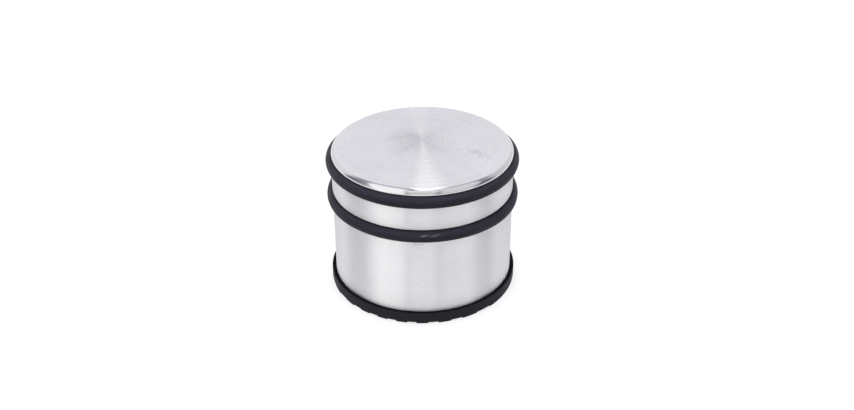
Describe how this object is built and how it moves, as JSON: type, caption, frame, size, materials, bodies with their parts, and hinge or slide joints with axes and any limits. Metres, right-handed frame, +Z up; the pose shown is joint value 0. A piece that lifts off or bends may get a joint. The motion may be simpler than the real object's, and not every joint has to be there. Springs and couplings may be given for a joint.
{
  "type": "door stop",
  "caption": "Free-standing weighted floor door stop: a brushed steel drum with a crowned top, rubber rings round its upper part and a ribbed rubber base pad.",
  "frame": {"origin": "centre of the underside of the base pad, on the floor", "axes": "+Z up along the drum's axis; the tread grooves of the base pad run along Y"},
  "size_m": [0.0954, 0.0954, 0.0763],
  "materials": {
    "brushed_shell": "fine circular brushing on wall and top, polished rounded top edge",
    "cast_cement": "rough cast cement",
    "ring_rubber": "satin black rubber cord",
    "pad_rubber": "matt black moulded rubber"
  },
  "bodies": {
    "root": {"steel_shell": "brushed_shell", "ballast": "cast_cement", "upper_ring": "ring_rubber", "lower_ring": "ring_rubber", "base_pad": "pad_rubber"}
  },
  "joints": []
}
